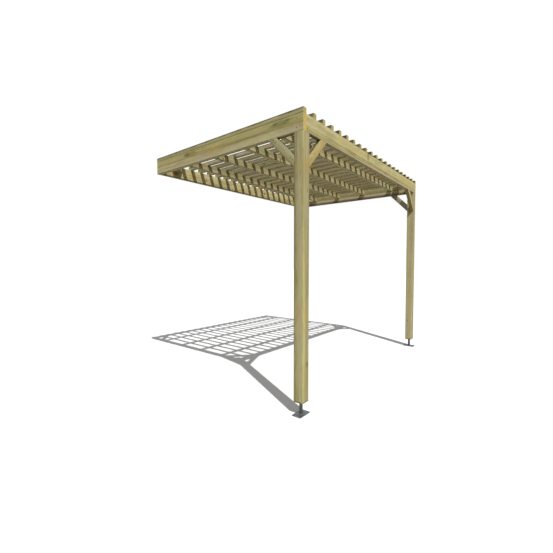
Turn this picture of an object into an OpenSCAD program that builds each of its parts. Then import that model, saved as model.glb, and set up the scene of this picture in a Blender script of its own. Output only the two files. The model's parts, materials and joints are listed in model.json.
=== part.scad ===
// Lean-to pergola: two posts on adjustable feet carry a frame of beams that is
// fixed to a wall at the back, under a flat roof of evenly spaced slats.
//
// Frame: the origin is on the wall plate's back face, at its centre. X runs
// along the wall, +Y points into the wall and +Z is up, so the posts stand at
// the -Y side. Lengths are in millimetres.

/* [Overall] */
// Width along the wall, over the outer faces of the side beams
width = 3120; // [2000:5:5000]
// Depth from the wall to the front face of the front beam
depth = 2155; // [1400:5:3600]
// Height from the ground to the top of the slats
height = 2585; // [2100:5:3200]

/* [Posts] */
// Side of the square posts
post_size = 95; // [80:1:135]

/* [Beams] */
// Depth of the side beams, the front beam and the wall plate
beam_depth = 145; // [100:1:220]
// Thickness of the side beams, the front beam and the wall plate
beam_thickness = 45; // [30:1:60]

/* [Crossbeams] */
// Number of crossbeams between the front beam and the wall plate
crossbeam_count = 4; // [2:1:7]
// Depth of a crossbeam
crossbeam_depth = 70; // [45:1:95]
// Thickness of a crossbeam
crossbeam_thickness = 45; // [30:1:60]
// Clear gap from a corner brace's tip to the nearest crossbeam
crossbeam_brace_gap = 20; // [5:1:165]

/* [Slats] */
// Number of roof slats, with one on each side beam
slat_count = 21; // [13:1:25]
// Width of a slat
slat_width = 45; // [30:1:60]
// Height of a slat
slat_height = 45; // [30:1:70]

/* [Braces] */
// Reach of a knee brace along the beam and down the post
brace_reach = 285; // [180:1:400]
// Reach of a corner brace along each of the two beams that it joins
corner_brace_reach = 285; // [210:1:400]
// Width of a brace across its length
brace_width = 70; // [45:1:95]
// Thickness of a brace
brace_thickness = 45; // [30:1:60]

/* [Feet] */
// Clear height of a post's end above the ground
foot_height = 114; // [90:1:160]
// Length of the floor plate
foot_plate_length = 150; // [140:1:220]
// Width of the floor plate
foot_plate_width = 90; // [80:1:140]
// Thickness of the floor plate
foot_plate_thickness = 6; // [5:1:10]
// Radius of the floor plate's corners
foot_plate_corner = 5; // [2:1:12]
// Spacing of the floor plate's holes along its length
foot_hole_pitch_long = 120; // [90:1:130]
// Spacing of the floor plate's holes across its width
foot_hole_pitch_wide = 60; // [40:1:70]
// Diameter of the holes in the floor plate
foot_hole_d = 12; // [8:1:14]
// Diameter of the spindle between the two plates
spindle_d = 30; // [20:1:40]
// Leg of the weld around each end of the spindle
weld = 4; // [2:0.5:6]
// Side of the bearing plate under the post
bearing_size = 80; // [70:1:95]
// Thickness of the bearing plate
bearing_thickness = 6; // [4:1:8]
// Radius of the bearing plate's corners
bearing_corner = 5; // [2:1:8]
// Spacing of the four screw holes in the bearing plate
bearing_hole_pitch = 56; // [50:1:66]
// Diameter of the screw holes in the bearing plate
bearing_hole_d = 7; // [5:0.5:8]

/* [Wall fixing] */
// Number of bolt holes through the wall plate
wall_hole_count = 4; // [2:2:8]
// Distance from the wall plate's end to its nearest bolt hole
wall_hole_margin = 315; // [100:1:400]
// Diameter of the bolt holes
wall_hole_d = 13; // [8:1:18]

/* [Finish] */
// Radius of the eased long edges of the posts
post_arris = 6; // [2:0.5:12]
// Radius of the eased long edges of the other timber
arris = 3; // [1:0.5:6]

/* [Hidden] */
// Sides of the small round edges, and of holes and round bars
arris_sides = 24;
round_sides = 48;
// How far a cut runs past the face that it opens
past = 1;

// Levels, with the wall plate's middle at zero
beam_top = beam_depth / 2;
beam_bottom = -beam_depth / 2;
slat_top = beam_top + slat_height;
ground = slat_top - height;
post_bottom = ground + foot_height;

// Outer planes of the frame, and the inner planes of its beams
outer_x = width / 2;
inner_x = outer_x - beam_thickness;
front_y = -depth;
front_beam_back_y = front_y + beam_thickness;
plate_front_y = -beam_thickness;
between_beams = 2 * inner_x;

// Crossbeams and slats are evenly spaced between their end positions, and the
// outermost crossbeams stand just clear of the corner braces
crossbeam_end_gap = corner_brace_reach + crossbeam_brace_gap;
crossbeam_bottom = beam_top - crossbeam_depth;
crossbeam_first_y = front_beam_back_y + crossbeam_end_gap;
crossbeam_last_y = plate_front_y - crossbeam_end_gap - crossbeam_thickness;
crossbeam_pitch = (crossbeam_last_y - crossbeam_first_y) / (crossbeam_count - 1);
slat_pitch = (width - slat_width) / (slat_count - 1);
wall_hole_pitch = (between_beams - 2 * wall_hole_margin) / (wall_hole_count - 1);

// Middle of the right post, and the levels of the foot's pieces
post_centre_x = outer_x - post_size / 2;
post_centre_y = front_y + post_size / 2;
floor_plate_top = ground + foot_plate_thickness;
bearing_bottom = post_bottom - bearing_thickness;

function numbered(stem, i) = str(stem, i < 10 ? "0" : "", i);

CROSSBEAMS = [for (i = [1 : crossbeam_count]) str("crossbeam_", i)];
SLATS = [for (i = [1 : slat_count]) numbered("slat_", i)];

// A rectangle with round corners, its lower left corner at the origin.
module rounded_rectangle(a, b, corner) {
    translate([corner, 0])
        square([a - 2 * corner, b]);
    translate([0, corner])
        square([a, b - 2 * corner]);
    for (x = [corner, a - corner], y = [corner, b - corner])
        translate([x, y])
            circle(r = corner, $fn = arris_sides);
}

// Timber along Z, with its section from the origin to +X and +Y.
module upright(length, size_x, size_y, edge = arris) {
    linear_extrude(height = length)
        rounded_rectangle(size_x, size_y, edge);
}

// Timber along X, from the origin to +X, +Y and +Z.
module timber_along_x(length, size_y, size_z) {
    rotate([90, 0, 90])
        upright(length, size_y, size_z);
}

// Timber along Y, from the origin to +X, +Y and +Z.
module timber_along_y(length, size_x, size_z) {
    translate([0, length, 0])
        rotate([90, 0, 0])
            upright(length, size_x, size_z);
}

// Right-hand pieces are mirror images of the left-hand ones.
module on_side(side) {
    if (side == "left")
        children();
    else
        mirror([1, 0, 0])
            children();
}

// The post's head is rebated on its two outer faces. The beams sit on the
// shoulders, flush with the post, and the core that stays carries the bolts.
module post(side) {
    color("darkkhaki")
        on_side(side)
            translate([-outer_x, front_y, 0])
                difference() {
                    translate([0, 0, post_bottom])
                        upright(beam_top - post_bottom, post_size, post_size, post_arris);
                    translate([-past, -past, beam_bottom])
                        cube([beam_thickness + past, post_size + 2 * past, beam_depth + past]);
                    translate([-past, -past, beam_bottom])
                        cube([post_size + 2 * past, beam_thickness + past, beam_depth + past]);
                }
}

module side_beam(side) {
    color("tan")
        on_side(side)
            translate([-outer_x, front_y, beam_bottom])
                timber_along_y(depth, beam_thickness, beam_depth);
}

module front_beam() {
    color("burlywood")
        translate([-inner_x, front_y, beam_bottom])
            timber_along_x(between_beams, beam_thickness, beam_depth);
}

// The plate that fixes the frame to the wall, with its row of bolt holes.
module wall_plate() {
    color("tan")
        difference() {
            translate([-inner_x, plate_front_y, beam_bottom])
                timber_along_x(between_beams, beam_thickness, beam_depth);
            for (i = [0 : wall_hole_count - 1])
                translate([-inner_x + wall_hole_margin + i * wall_hole_pitch, past, 0])
                    rotate([90, 0, 0])
                        cylinder(d = wall_hole_d, h = beam_thickness + 2 * past, $fn = round_sides);
        }
}

module crossbeam(i) {
    color("peru")
        translate([-inner_x, crossbeam_first_y + (i - 1) * crossbeam_pitch, crossbeam_bottom])
            timber_along_x(between_beams, crossbeam_thickness, crossbeam_depth);
}

module slat(i) {
    color("khaki")
        translate([-outer_x + (i - 1) * slat_pitch, front_y, beam_top])
            timber_along_y(depth, slat_width, slat_height);
}

// A brace in the corner between a face at X = 0 and a face above it at Z = 0.
// It is a length of timber at 45 degrees, mitred to the two faces.
module brace(reach) {
    longer_edge = reach * sqrt(2);
    intersection() {
        translate([0, 0, -reach])
            rotate([0, 45, 0])
                translate([-brace_width, 0, -brace_width])
                    upright(longer_edge + 2 * brace_width, brace_width, brace_thickness);
        translate([0, brace_thickness + past, 0])
            rotate([90, 0, 0])
                linear_extrude(height = brace_thickness + 2 * past)
                    polygon([[0, 0], [reach + past, 0], [0, -reach - past]]);
    }
}

// The knee braces stand flush with the outer faces of the post and the beams.
module front_brace(side) {
    color("goldenrod")
        on_side(side)
            translate([post_size - outer_x, front_y, beam_bottom])
                brace(brace_reach);
}

module side_brace(side) {
    color("goldenrod")
        on_side(side)
            translate([brace_thickness - outer_x, front_y + post_size, beam_bottom])
                rotate([0, 0, 90])
                    brace(brace_reach);
}

// The corner braces lie flat between a side beam and the front beam or the
// wall plate, level with the undersides of the crossbeams.
module front_corner_brace(side) {
    color("goldenrod")
        on_side(side)
            translate([-inner_x, front_beam_back_y, crossbeam_bottom])
                rotate([90, 0, 0])
                    brace(corner_brace_reach);
}

module back_corner_brace(side) {
    color("goldenrod")
        on_side(side)
            translate([-inner_x, plate_front_y, crossbeam_bottom + brace_thickness])
                rotate([-90, 0, 0])
                    brace(corner_brace_reach);
}

// A steel plate with round corners, centred on Z.
module steel_plate(size_x, size_y, thickness, corner) {
    translate([-size_x / 2, -size_y / 2, 0])
        linear_extrude(height = thickness)
            rounded_rectangle(size_x, size_y, corner);
}

// Four round cuts on the corners of a rectangle, centred on Z.
module four_holes(pitch_x, pitch_y, diameter, depth) {
    for (x = [-pitch_x / 2, pitch_x / 2], y = [-pitch_y / 2, pitch_y / 2])
        translate([x, y, -past])
            cylinder(d = diameter, h = depth + 2 * past, $fn = round_sides);
}

// The left floor plate lies along the front and the right one along the side.
module floor_plate(side) {
    color("silver")
        on_side(side)
            translate([-post_centre_x, post_centre_y, ground])
                rotate([0, 0, side == "left" ? 0 : 90])
                    difference() {
                        steel_plate(foot_plate_length, foot_plate_width, foot_plate_thickness, foot_plate_corner);
                        four_holes(foot_hole_pitch_long, foot_hole_pitch_wide, foot_hole_d, foot_plate_thickness);
                    }
}

// The spindle is a round bar, with a weld where it meets each plate.
module spindle(side) {
    bar = spindle_d / 2;
    foot = bar + weld;
    length = bearing_bottom - floor_plate_top;
    color("gray")
        on_side(side)
            translate([-post_centre_x, post_centre_y, floor_plate_top])
                rotate_extrude($fn = round_sides)
                    polygon([
                        [0, 0],
                        [foot, 0],
                        [bar, weld],
                        [bar, length - weld],
                        [foot, length],
                        [0, length]]);
}

// The post stands on the bearing plate, which is screwed to its end.
module bearing_plate(side) {
    color("silver")
        on_side(side)
            translate([-post_centre_x, post_centre_y, bearing_bottom])
                difference() {
                    steel_plate(bearing_size, bearing_size, bearing_thickness, bearing_corner);
                    four_holes(bearing_hole_pitch, bearing_hole_pitch, bearing_hole_d, bearing_thickness);
                }
}

post("left");  // left_post
post("right");  // right_post
side_beam("left");  // left_side_beam
side_beam("right");  // right_side_beam
front_beam();
wall_plate();
for (i = [1 : crossbeam_count])
    crossbeam(i);
for (i = [1 : slat_count])
    slat(i);
side_brace("left");  // left_side_brace
side_brace("right");  // right_side_brace
front_brace("left");  // left_front_brace
front_brace("right");  // right_front_brace
front_corner_brace("left");  // left_front_corner_brace
front_corner_brace("right");  // right_front_corner_brace
back_corner_brace("left");  // left_back_corner_brace
back_corner_brace("right");  // right_back_corner_brace
floor_plate("left");  // left_floor_plate
floor_plate("right");  // right_floor_plate
spindle("left");  // left_spindle
spindle("right");  // right_spindle
bearing_plate("left");  // left_bearing_plate
bearing_plate("right");  // right_bearing_plate
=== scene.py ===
"""Lean-to pergola in green pressure-treated pine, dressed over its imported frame.

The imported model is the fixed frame: every place and size is read from it, in
metres, with X along the wall, +Y into the wall and +Z up. Each length of
timber is modelled again over its node with rounded arrises, sawn ends, drying
splits and sunk screws, and has a grain of its own that is worked out from
where the pith of the log ran. The feet are modelled again with eased plates
and beads of weld.
"""

import json
import logging
import math
import random
from collections.abc import Callable, Iterator, Mapping, Sequence
from contextlib import contextmanager
from dataclasses import dataclass, field
from enum import Enum

import bmesh
import bpy
from bmesh.types import BMEdge, BMFace
from bpy.types import Material, Node, NodeSocket, NodeTree, Object
from mathutils import Matrix, Vector


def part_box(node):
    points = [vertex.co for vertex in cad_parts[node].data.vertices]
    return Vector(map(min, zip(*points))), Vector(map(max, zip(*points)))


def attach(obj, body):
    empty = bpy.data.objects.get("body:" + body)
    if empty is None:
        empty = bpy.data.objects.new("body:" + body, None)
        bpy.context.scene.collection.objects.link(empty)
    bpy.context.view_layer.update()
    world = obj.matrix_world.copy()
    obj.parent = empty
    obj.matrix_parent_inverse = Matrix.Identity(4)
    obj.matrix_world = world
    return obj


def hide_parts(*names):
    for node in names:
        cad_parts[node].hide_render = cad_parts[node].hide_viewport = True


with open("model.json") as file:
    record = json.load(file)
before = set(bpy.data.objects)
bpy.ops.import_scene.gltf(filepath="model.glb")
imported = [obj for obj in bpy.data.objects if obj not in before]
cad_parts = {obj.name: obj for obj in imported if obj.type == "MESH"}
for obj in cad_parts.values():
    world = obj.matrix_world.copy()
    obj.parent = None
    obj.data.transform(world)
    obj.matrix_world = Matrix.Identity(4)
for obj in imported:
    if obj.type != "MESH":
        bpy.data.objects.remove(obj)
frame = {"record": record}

LOG = logging.getLogger("pergola")
MM = 0.001
BODY = "root"
UP, RIGHTWARD, BACKWARD = Vector((0, 0, 1)), Vector((1, 0, 0)), Vector((0, 1, 0))

# The least cosine between two directions that count as one.
ALIGNED = 0.999
# The least angle between two faces that makes an edge an arris, in degrees.
ARRIS_ANGLE = 30
# The angle between two faces below which they are shaded as one, in degrees.
SMOOTH_BELOW = 32
# The chamfer round a sawn end.
EASED_END = 0.6 * MM


class Side(Enum):
    """The two mirrored sides, named as seen from the front."""

    LEFT = "left"
    RIGHT = "right"

    @property
    def sign(self) -> int:
        """The sign of X on this side."""
        return -1 if self is Side.LEFT else 1


class Run(Enum):
    """The row axis that a length of timber runs along."""

    ALONG_WALL = RIGHTWARD
    FRONT_TO_BACK = BACKWARD
    UPRIGHT = UP

    @property
    def index(self) -> int:
        """The number of the axis, 0 for X to 2 for Z."""
        return [abs(part) > 0.5 for part in self.value].index(True)

    @property
    def across(self) -> tuple[int, int]:
        """The numbers of the two axes across it, in turning order."""
        return (self.index + 1) % 3, (self.index + 2) % 3


class BracePlace(Enum):
    """The corner that a brace stiffens, as its node's name gives it."""

    SIDE = "side_brace"
    FRONT = "front_brace"
    FRONT_CORNER = "front_corner_brace"
    BACK_CORNER = "back_corner_brace"


class Element(Enum):
    """The elements of a mesh that can be selected."""

    EDGE = "edges"
    FACE = "faces"


# ---------------------------------------------------------------- modelling


def only(obj: Object) -> None:
    """Makes an object the active one and the only one selected."""
    bpy.ops.object.select_all(action="DESELECT")
    obj.select_set(True)
    bpy.context.view_layer.objects.active = obj


@contextmanager
def editing(obj: Object) -> Iterator[None]:
    """Holds one object in edit mode."""
    only(obj)
    bpy.ops.object.mode_set(mode="EDIT")
    try:
        yield
    finally:
        bpy.ops.object.mode_set(mode="OBJECT")


def select(obj: Object, kind: Element, wanted: Callable[[BMEdge | BMFace], bool]) -> None:
    """Selects the edges or the faces of an object in edit mode that pass a test.

    Args:
        obj: The object, in edit mode.
        kind: What to select.
        wanted: Says whether an element is to be selected.
    """
    bpy.ops.mesh.select_mode(type=kind.name)
    bpy.ops.mesh.select_all(action="DESELECT")
    mesh = bmesh.from_edit_mesh(obj.data)
    for element in getattr(mesh, kind.value):
        if wanted(element):
            element.select_set(True)
    bmesh.update_edit_mesh(obj.data)


def divide(place: Vector, normal: Vector, **settings: object) -> None:
    """Cuts the whole mesh in edit mode along a plane."""
    bpy.ops.mesh.select_all(action="SELECT")
    bpy.ops.mesh.bisect(plane_co=place, plane_no=normal, **settings)


def parts_faces(edge: BMEdge, wanted: Callable[[BMFace], bool]) -> bool:
    """Says whether just one of an edge's two faces passes a test."""
    passed = [wanted(face) for face in edge.link_faces]
    return len(passed) == 2 and passed[0] != passed[1]


def fix_in_place(obj: Object) -> None:
    """Moves an object's place, turn and scale into its mesh."""
    only(obj)
    bpy.ops.object.transform_apply(location=True, rotation=True, scale=True)


def added(name: str, scale: Sequence[float] = (1, 1, 1)) -> Object:
    """Names the primitive that was just added, scales it and fixes it in place.

    Args:
        name: Its name.
        scale: Its scale.

    Returns:
        The new object.
    """
    obj = bpy.context.active_object
    obj.name = obj.data.name = name
    obj.scale = scale
    fix_in_place(obj)
    return obj


def block(name: str, low: Vector, high: Vector) -> Object:
    """Adds a cube primitive that fills a box.

    Args:
        name: The new piece's name.
        low: The box's lowest corner.
        high: The box's highest corner.

    Returns:
        The new object, at the origin with its place in its mesh.
    """
    bpy.ops.object.select_all(action="DESELECT")
    bpy.ops.mesh.primitive_cube_add(size=1, location=(low + high) / 2)
    return added(name, high - low)


def drum(name: str, foot: Vector, radius: float, height: float, sides: int) -> Object:
    """Adds an upright cylinder primitive that stands on a point.

    Args:
        name: The new piece's name.
        foot: The middle of its lower end.
        radius: Its radius, to the corners.
        height: Its height.
        sides: The number of its sides.

    Returns:
        The new object, at the origin with its place in its mesh.
    """
    bpy.ops.object.select_all(action="DESELECT")
    bpy.ops.mesh.primitive_cylinder_add(vertices=sides, radius=radius, depth=height,
                                        location=foot + UP * height / 2)
    return added(name)


def copy_of(obj: Object, name: str, place: Matrix) -> Object:
    """Copies a piece, with a mesh of its own, to another place.

    Args:
        obj: The piece to copy.
        name: The copy's name.
        place: Where the copy goes, from where the piece is.

    Returns:
        The copy, at the origin with its place in its mesh.
    """
    twin = obj.copy()
    twin.data = obj.data.copy()
    twin.name = twin.data.name = name
    bpy.context.scene.collection.objects.link(twin)
    twin.matrix_world = place
    fix_in_place(twin)
    if place.determinant() < 0:
        with editing(twin):
            bpy.ops.mesh.select_all(action="SELECT")
            bpy.ops.mesh.normals_make_consistent(inside=False)
    return twin


def joined(name: str, parts: Sequence[Object]) -> Object:
    """Joins objects, which all sit at the origin, into one.

    Args:
        name: The name of the whole.
        parts: The objects.

    Returns:
        The whole.
    """
    only(parts[0])
    for part in parts:
        part.select_set(True)
    if len(parts) > 1:
        bpy.ops.object.join()
    whole = bpy.context.active_object
    whole.name = whole.data.name = name
    return whole


def cut_with(obj: Object, tool: Object) -> None:
    """Cuts a tool's shape out of an object.

    Args:
        obj: The object.
        tool: The tool, which is removed.
    """
    cut = obj.modifiers.new("cut", "BOOLEAN")
    cut.operation = "DIFFERENCE"
    cut.solver = "EXACT"
    cut.object = tool
    only(obj)
    bpy.ops.object.modifier_apply(modifier=cut.name)
    bpy.data.objects.remove(tool)


def drill(obj: Object, radius: float, depth: float, places: Sequence[Matrix]) -> None:
    """Drills holes in a piece.

    Args:
        obj: The piece.
        radius: The holes' radius.
        depth: How far the bit goes in; it starts a tenth of that above the face.
        places: The places of the holes on the face, with Z into the piece.
    """
    bit = drum("bit", -UP * 0.1 * depth, radius, 1.2 * depth, sides=32)
    bits = [copy_of(bit, "hole", place) for place in places]
    bpy.data.objects.remove(bit)
    cut_with(obj, joined("holes", bits))


def facing(place: Vector, outward: Vector) -> Matrix:
    """Returns the place of a piece that is modelled facing +Z and turned to face outward."""
    return Matrix.Translation(place) @ outward.to_track_quat("Z", "Y").to_matrix().to_4x4()


def round_arrises(obj: Object, run: Vector, radius: float) -> None:
    """Rounds the edges that run along a timber and eases the rims of its sawn ends.

    Args:
        obj: The timber.
        run: The direction that it runs in.
        radius: The radius of its long edges.
    """
    def runs_along(edge: BMEdge) -> bool:
        """Says whether an edge is a long arris, and not a cut through the timber."""
        length = edge.calc_length()
        heading = (edge.verts[1].co - edge.verts[0].co).dot(run)
        corner = edge.is_manifold and edge.calc_face_angle() > math.radians(ARRIS_ANGLE)
        return corner and length > 4 * radius and abs(heading) > ALIGNED * length

    def is_end(face: BMFace) -> bool:
        """Says whether a face is one of the sawn ends."""
        return abs(face.normal.dot(run)) > ALIGNED

    with editing(obj):
        select(obj, Element.EDGE, runs_along)
        bpy.ops.mesh.bevel(offset=radius, segments=4, profile=0.5, affect="EDGES")
        select(obj, Element.EDGE, lambda edge: parts_faces(edge, is_end))
        bpy.ops.mesh.bevel(offset=EASED_END, segments=1, affect="EDGES")


@dataclass
class Stock:
    """Lengths of planed timber, of which each size is modelled once and then copied.

    Attributes:
        blanks: The lengths modelled so far, each about the origin.
    """

    blanks: dict[str, Object] = field(default_factory=dict)

    def length(self, timber: "Timber") -> Object:
        """Cuts a length of timber.

        Args:
            timber: What it is cut for.

        Returns:
            The length, in the timber's box.
        """
        size = timber.size
        key = f"{timber.run.name} {size.x:.4f} {size.y:.4f} {size.z:.4f} {timber.arris:.4f}"
        if key not in self.blanks:
            blank = block("planed_length", -size / 2, size / 2)
            round_arrises(blank, timber.run.value, timber.arris)
            self.blanks[key] = blank
        place = Matrix.Translation((timber.low + timber.high) / 2)
        return copy_of(self.blanks[key], f"{timber.node}_timber", place)


@dataclass
class DeckScrew:
    """A screw's flat head and the dent that it is pulled into, each modelled once.

    Attributes:
        coat: The finish of the heads.
        radius: The head's radius.
        height: How much of the head is modelled.
        sunk: How far the dent goes into the timber.
        crushed: How far the dent reaches past the head.
        rim: The chamfer of the head's rim.
        land: The width of the flat round the socket, in head radii.
        lobe: How far the socket's lobes stand out, in socket radii.
        socket: The socket's depth, in head heights.
    """

    coat: Material
    radius: float = 4.6 * MM
    height: float = 1.0 * MM
    sunk: float = 1.4 * MM
    crushed: float = 0.5 * MM
    rim: float = 0.25 * MM
    land: float = 0.45
    lobe: float = 0.16
    socket: float = 0.6

    def __post_init__(self) -> None:
        """Models the head and the cutter, facing +Z at the origin."""
        foot = -UP * self.sunk
        self.dent = drum("screw_dent", foot, self.radius + self.crushed, 2 * self.sunk, sides=16)
        self.head = drum("screw_head", foot, self.radius, self.height, sides=12)

        def is_top(face: BMFace) -> bool:
            """Says whether a face is the flat of the head, at each stage."""
            return len(face.verts) > 4 and face.normal.z > ALIGNED

        with editing(self.head):
            select(self.head, Element.FACE, is_top)
            bpy.ops.mesh.bevel(offset=self.rim, segments=1, affect="EDGES")
            select(self.head, Element.FACE, is_top)
            bpy.ops.mesh.inset(thickness=self.land * self.radius)
            mesh = bmesh.from_edit_mesh(self.head.data)
            socket = next(face for face in mesh.faces if face.select)
            middle = socket.calc_center_median()
            for number, corner in enumerate(socket.verts):
                lobe = 1 + self.lobe * math.cos(number * math.pi)
                corner.co = middle + (corner.co - middle) * lobe
            bmesh.update_edit_mesh(self.head.data)
            bpy.ops.mesh.extrude_region_move(
                TRANSFORM_OT_translate={"value": -UP * self.socket * self.height})

    def dents(self, screws: Sequence[Matrix]) -> Object:
        """Returns one cutter with the dents of all the screws at the given places."""
        return joined("dents", [copy_of(self.dent, "dent", place) for place in screws])

    def heads(self, name: str, screws: Sequence[Matrix]) -> None:
        """Lays a head at each of the given places and joins them into one piece."""
        heads = [copy_of(self.head, "head", place) for place in screws]
        finish_piece(joined(name, heads), self.coat)


@dataclass
class Splitter:
    """Opens fine splits along a timber, as it gets when it dries.

    Attributes:
        length: The range of a split's length, in millimetres.
        depth: The range of its depth, in millimetres.
        gape: The range of half its width, in millimetres.
        spread: How far off the face's middle line it may be, in widths.
    """

    length: tuple[float, float] = (120, 420)
    depth: tuple[float, float] = (7, 12)
    gape: tuple[float, float] = (0.5, 0.9)
    spread: float = 0.3

    def __post_init__(self) -> None:
        """Models the cutter of a split, a ball of unit radius."""
        bpy.ops.object.select_all(action="DESELECT")
        bpy.ops.mesh.primitive_ico_sphere_add(subdivisions=2, radius=1)
        self.cutter = bpy.context.active_object

    def open_splits(self, obj: Object, timber: "Timber") -> None:
        """Opens splits in the faces of a timber.

        Args:
            obj: The timber's mesh object.
            timber: The timber, which says how many splits it has.
        """
        draw, run, size = draw_for(timber.node), timber.run, timber.size
        for _ in range(timber.splits):
            face, over = draw.sample(sorted(run.across), 2)
            centre = (timber.low + timber.high) / 2
            length = draw.uniform(*self.length) * MM
            centre[run.index] += draw.uniform(-1, 1) * max(size[run.index] / 2 - length, 0)
            centre[face] = draw.choice((timber.low, timber.high))[face]
            centre[over] += draw.uniform(-self.spread, self.spread) * size[over]
            scale = Vector((0, 0, 0))
            scale[run.index] = length / 2
            scale[face] = draw.uniform(*self.depth) * MM
            scale[over] = draw.uniform(*self.gape) * MM
            cut_with(obj, copy_of(self.cutter, "split", Matrix.LocRotScale(centre, None, scale)))


def finish_piece(obj: Object, material: Material, node: str | None = None) -> None:
    """Dresses a finished piece and fits it to the frame.

    Args:
        obj: The piece.
        material: Its finish.
        node: The node that it replaces, if any.
    """
    obj.data.materials.clear()
    obj.data.materials.append(material)
    only(obj)
    bpy.ops.object.shade_smooth_by_angle(angle=math.radians(SMOOTH_BELOW))
    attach(obj, BODY)
    if node:
        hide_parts(node)
    LOG.info("piece %s: %d faces, for %s", obj.name, len(obj.data.polygons), node or "trim")


# ---------------------------------------------------------------- finishes


def colour(code: str) -> tuple[float, float, float, float]:
    """Turns an sRGB hex colour to linear red, green, blue and alpha."""
    parts = [int(code[start:start + 2], 16) / 255 for start in (1, 3, 5)]
    linear = [part / 12.92 if part <= 0.04045 else ((part + 0.055) / 1.055) ** 2.4
              for part in parts]
    return (*linear, 1.0)


# What an input can be linked to: a socket, or a node for its first live output.
Signal = Node | NodeSocket
# The setting of a smooth step, and the numbers of a Mix node's colour inputs.
SMOOTH = {"interpolation_type": "SMOOTHSTEP"}
UNDER, OVER = 6, 7


@dataclass
class Shader:
    """A node tree that is being built.

    Attributes:
        tree: The node tree, emptied before the first node is added.
    """

    tree: NodeTree

    def __post_init__(self) -> None:
        """Empties the tree."""
        self.tree.nodes.clear()

    def add(self, kind: str, inputs: Mapping[str | int, object] | Sequence[object] = (),
            **settings: object) -> Node:
        """Adds a node with its settings, values and links.

        Args:
            kind: The node's type, without its ShaderNode prefix.
            inputs: A value or a signal to link for each input, in their order or
                by their names or numbers.
            **settings: The node's own properties.

        Returns:
            The new node.
        """
        node = self.tree.nodes.new("ShaderNode" + kind)
        for name, value in settings.items():
            setattr(node, name, value)
        given = inputs if isinstance(inputs, Mapping) else dict(enumerate(inputs))
        for key, value in given.items():
            if isinstance(value, Node):
                value = next(output for output in value.outputs if output.enabled)
            if isinstance(value, NodeSocket):
                self.tree.links.new(value, node.inputs[key])
            else:
                node.inputs[key].default_value = value
        return node

    def clouds(self, place: Signal, across: float, along: float,
               detail: float = 2.0) -> tuple[NodeSocket, ...]:
        """Adds three clouds of noise that are drawn out along the grain.

        Args:
            place: The point, with Z along the grain.
            across: The width of a cloud.
            along: The length of a cloud.
            detail: How finely the clouds' edges break up.

        Returns:
            The strength of each cloud, about 0.5 on average.
        """
        drawn_out = self.add("VectorMath", (place, (1, 1, across / along)), operation="MULTIPLY")
        noise = self.add("TexNoise", {"Vector": drawn_out, "Scale": 1 / across,
                                      "Detail": detail, "Roughness": 0.55})
        return tuple(self.add("SeparateXYZ", (noise.outputs["Color"],)).outputs)

    def looked_at(self) -> Node:
        """Tells what is looked at from what only throws light back.

        Returns:
            1 for the camera, a gloss or a clear material, and 0 for bounced light.
        """
        path = self.add("LightPath").outputs
        seen = self.add("Math", (path["Is Camera Ray"], path["Is Glossy Ray"]),
                        operation="MAXIMUM")
        return self.add("Math", (seen, path["Is Transmission Ray"]), operation="MAXIMUM")

    def show_metal(self, tone: Signal, roughness: Signal, metallic: float) -> None:
        """Shows a metal.

        Args:
            tone: Its colour.
            roughness: Its roughness.
            metallic: How far it is bare metal.
        """
        surface = self.add("BsdfPrincipled", {"Base Color": tone, "Roughness": roughness})
        surface.inputs["Metallic"].default_value = metallic
        self.add("OutputMaterial", (surface,))


def new_material(name: str) -> Material:
    """Returns a new material of this name, with nodes."""
    made = bpy.data.materials.new(name)
    made.use_nodes = True
    return made


@dataclass(frozen=True)
class Knot:
    """A knot: the foot of a branch that grew out from the pith.

    Attributes:
        place: Its middle on the timber's face, in row axes from the middle of
            the timber's low end.
        radius: Its radius on the timber's face.
    """

    place: Vector
    radius: float


@dataclass(frozen=True)
class Blotch:
    """A patch of colour on the wood, as where it took up the treatment differently; some blotches
    are painted shade and painted light.

    Attributes:
        place: Its middle, in row axes from the middle of the timber's low end.
        across: Its half-width across the grain.
        along: Its half-length along the grain.
        tint: Its colour.
        share: How far it covers the wood there.
    """

    place: Vector
    across: float
    along: float
    tint: str
    share: float


# The numbers that set a cloud or a step.
Step = tuple[float, ...]


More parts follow.
